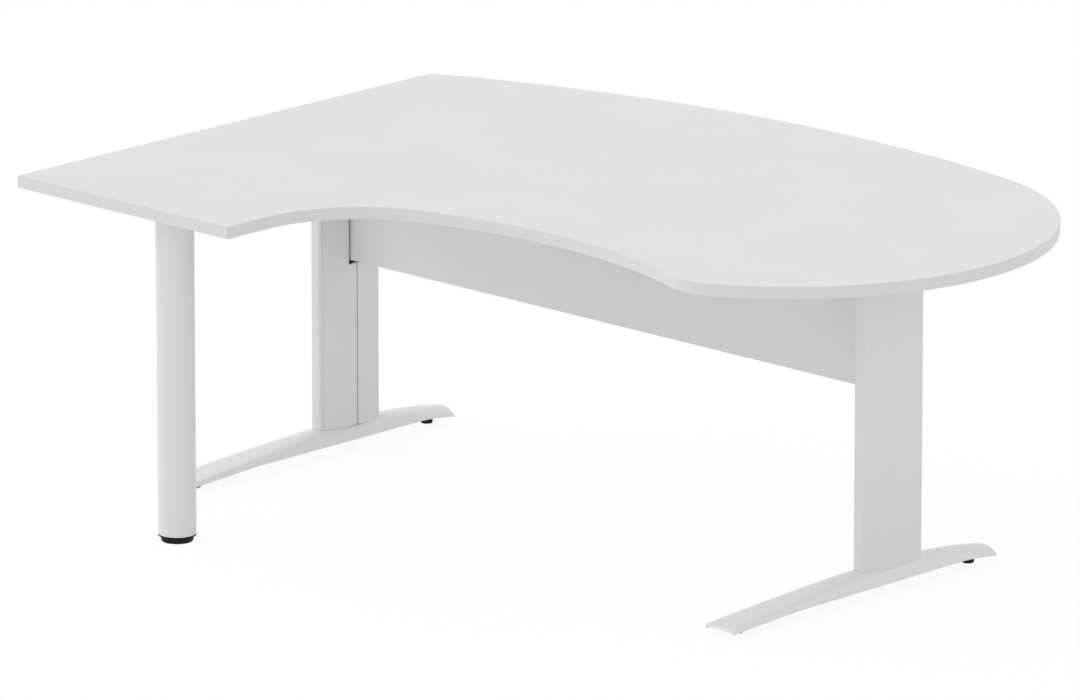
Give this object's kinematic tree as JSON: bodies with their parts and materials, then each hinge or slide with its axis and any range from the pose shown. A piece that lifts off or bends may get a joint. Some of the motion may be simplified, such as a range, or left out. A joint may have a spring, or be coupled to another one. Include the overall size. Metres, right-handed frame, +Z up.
{
  "type": "desk",
  "caption": "Compact office desk with a rounded end and a straight return, on two cast feet with cable-managed columns, a round pole leg and a modesty panel.",
  "frame": {"origin": "on the floor, under the middle of the desk's outline seen from above", "axes": "+X along the desk from the return to the rounded end, +Y from the user to the back, +Z up"},
  "size_m": [1.8894, 1.4048, 0.735],
  "materials": {
    "white_laminate": "fine matt white melamine face on chipboard",
    "white_edging": "smooth satin white plastic edging",
    "white_powder_coat": "fine satin white powder coat on steel",
    "white_cast_alloy": "fine satin white powder coat on cast aluminium",
    "black_plastic": "matt black moulded plastic",
    "grey_plastic": "matt grey moulded plastic",
    "zinc_plated_steel": "bright zinc plated steel"
  },
  "bodies": {
    "desk": {"desktop_board": "white_laminate", "edge_band_curved": "white_edging", "edge_band_left": "white_edging", "edge_band_return": "white_edging", "foot_left": "white_cast_alloy", "foot_right": "white_cast_alloy", "column_left": "white_powder_coat", "column_right": "white_powder_coat", "base_plate_left": "white_powder_coat", "base_plate_right": "white_powder_coat", "base_bolt_front_left": "zinc_plated_steel", "base_bolt_rear_left": "zinc_plated_steel", "base_bolt_front_right": "zinc_plated_steel", "base_bolt_rear_right": "zinc_plated_steel", "arm_left": "white_powder_coat", "arm_right": "white_powder_coat", "arm_screw_1_left": "zinc_plated_steel", "arm_screw_2_left": "zinc_plated_steel", "arm_screw_3_left": "zinc_plated_steel", "arm_screw_4_left": "zinc_plated_steel", "arm_screw_1_right": "zinc_plated_steel", "arm_screw_2_right": "zinc_plated_steel", "arm_screw_3_right": "zinc_plated_steel", "arm_screw_4_right": "zinc_plated_steel", "panel_plate_left": "white_powder_coat", "panel_plate_right": "white_powder_coat", "panel_nut_plate_left": "zinc_plated_steel", "panel_nut_plate_right": "zinc_plated_steel", "panel_bolt_lower_left": "zinc_plated_steel", "panel_bolt_upper_left": "zinc_plated_steel", "panel_bolt_lower_right": "zinc_plated_steel", "panel_bolt_upper_right": "zinc_plated_steel", "modesty_panel_front": "white_powder_coat", "modesty_panel_back": "white_powder_coat", "pole_tube": "white_powder_coat", "pole_top_plate": "white_powder_coat", "pole_cap": "black_plastic", "pole_screw_1": "zinc_plated_steel", "pole_screw_2": "zinc_plated_steel", "pole_screw_3": "zinc_plated_steel", "pole_screw_4": "zinc_plated_steel"},
    "leveller_front_left": {"leveller_pad_front_left": "black_plastic", "leveller_stud_front_left": "zinc_plated_steel"},
    "leveller_rear_left": {"leveller_pad_rear_left": "black_plastic", "leveller_stud_rear_left": "zinc_plated_steel"},
    "leveller_front_right": {"leveller_pad_front_right": "black_plastic", "leveller_stud_front_right": "zinc_plated_steel"},
    "leveller_rear_right": {"leveller_pad_rear_right": "black_plastic", "leveller_stud_rear_right": "zinc_plated_steel"},
    "pole_foot": {"pole_glide": "black_plastic", "pole_glide_stud": "zinc_plated_steel"},
    "cover_left": {"cable_cover_left": "white_powder_coat", "cover_clip_lower_left": "grey_plastic", "cover_clip_upper_left": "grey_plastic"},
    "cover_right": {"cable_cover_right": "white_powder_coat", "cover_clip_lower_right": "grey_plastic", "cover_clip_upper_right": "grey_plastic"}
  },
  "joints": [
    {"name": "level_front_left", "type": "slide", "parent": "desk", "child": "leveller_front_left", "axis": [0, 0, 1], "range_m": [-0.005, 0]},
    {"name": "level_rear_left", "type": "slide", "parent": "desk", "child": "leveller_rear_left", "axis": [0, 0, 1], "range_m": [-0.005, 0]},
    {"name": "level_front_right", "type": "slide", "parent": "desk", "child": "leveller_front_right", "axis": [0, 0, 1], "range_m": [-0.005, 0]},
    {"name": "level_rear_right", "type": "slide", "parent": "desk", "child": "leveller_rear_right", "axis": [0, 0, 1], "range_m": [-0.005, 0]},
    {"name": "level_pole", "type": "slide", "parent": "desk", "child": "pole_foot", "axis": [0, 0, 1], "range_m": [-0.015, 0]},
    {"name": "cover_left_pull", "type": "slide", "parent": "desk", "child": "cover_left", "axis": [1, 0, 0], "range_m": [0, 0.06]},
    {"name": "cover_right_pull", "type": "slide", "parent": "desk", "child": "cover_right", "axis": [-1, 0, 0], "range_m": [0, 0.06]}
  ]
}
